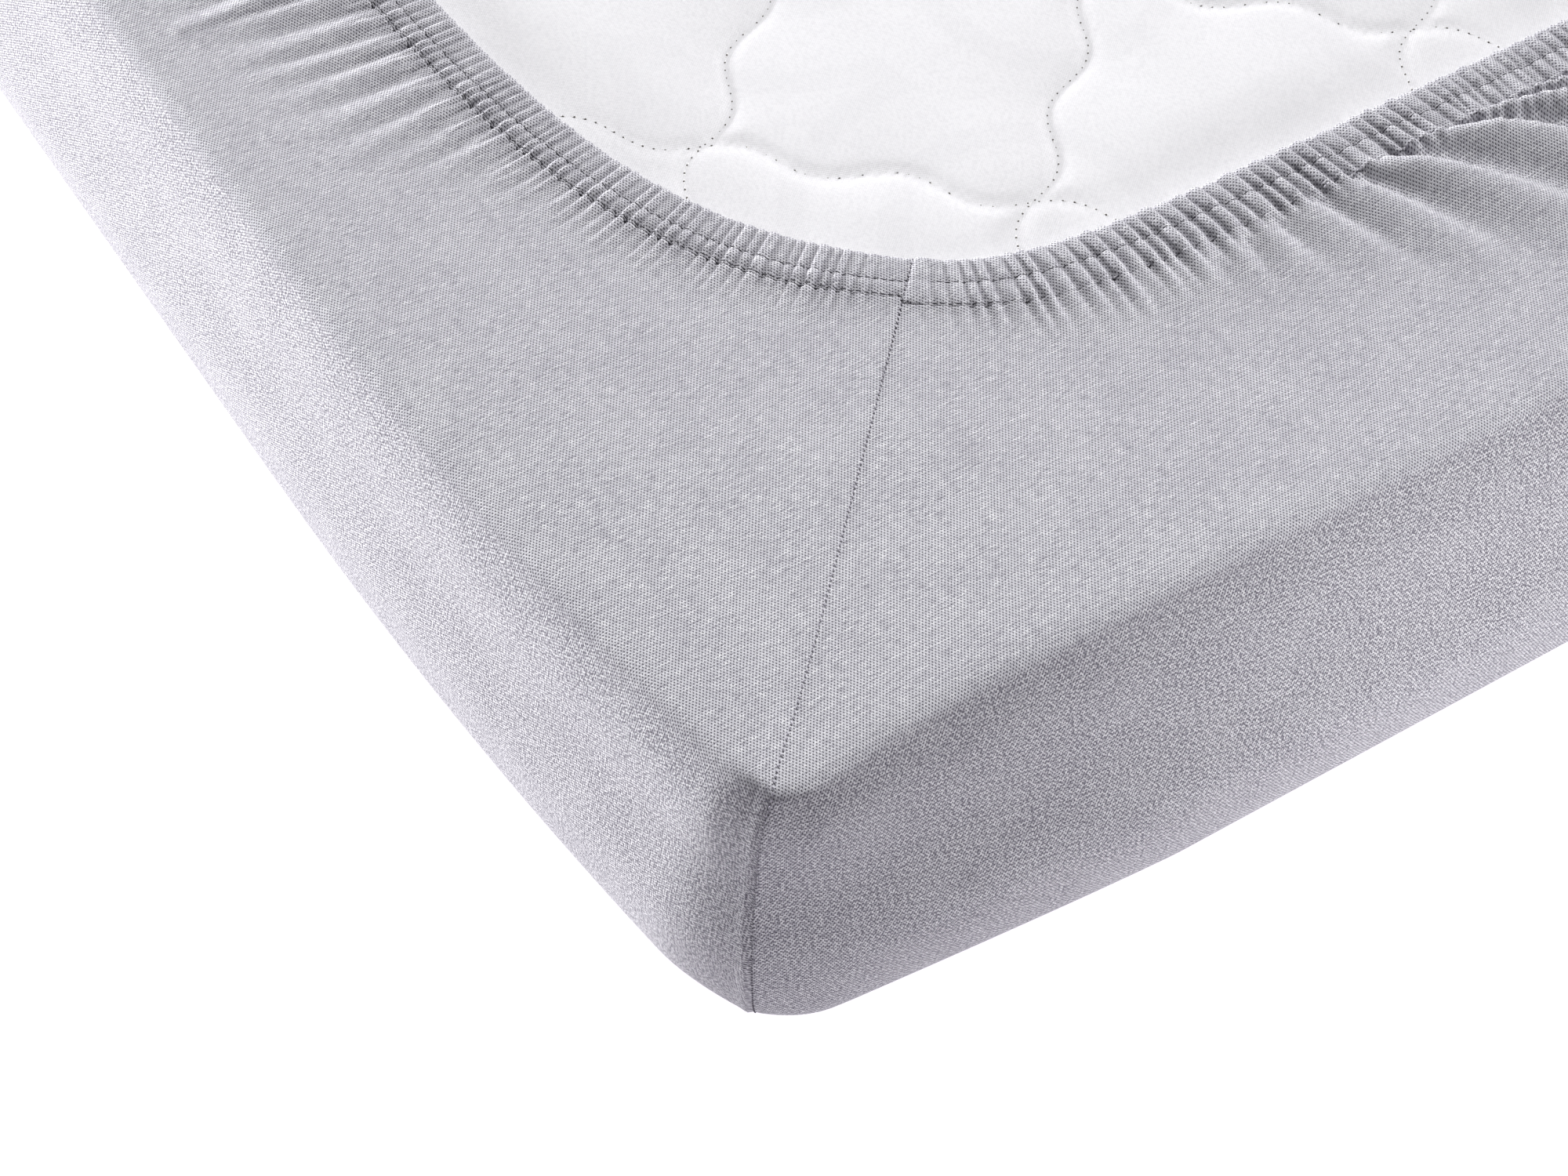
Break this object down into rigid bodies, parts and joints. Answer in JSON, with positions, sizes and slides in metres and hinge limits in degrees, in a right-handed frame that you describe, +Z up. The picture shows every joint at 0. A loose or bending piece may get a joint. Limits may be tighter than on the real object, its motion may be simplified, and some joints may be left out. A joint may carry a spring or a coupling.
{
  "type": "fitted sheet on mattress",
  "caption": "Jersey fitted sheet pulled over a single mattress lying upside down, its mitred corners and gathered elastic hem on top around the quilted cover.",
  "frame": {"origin": "on the floor, under the middle of the sheet", "axes": "+Z up, +Y along the mattress, +X across it; the corner at low X and low Y is the one seen closest"},
  "size_m": [0.8978, 1.998, 0.1609],
  "materials": {
    "jersey": "light grey melange cotton single jersey, matt, with visible wales",
    "quilted_cover": "white tone-on-tone woven cover, quilted in wavy diamonds"
  },
  "bodies": {
    "root": {"sheet": "jersey", "mattress": "quilted_cover"}
  },
  "joints": []
}
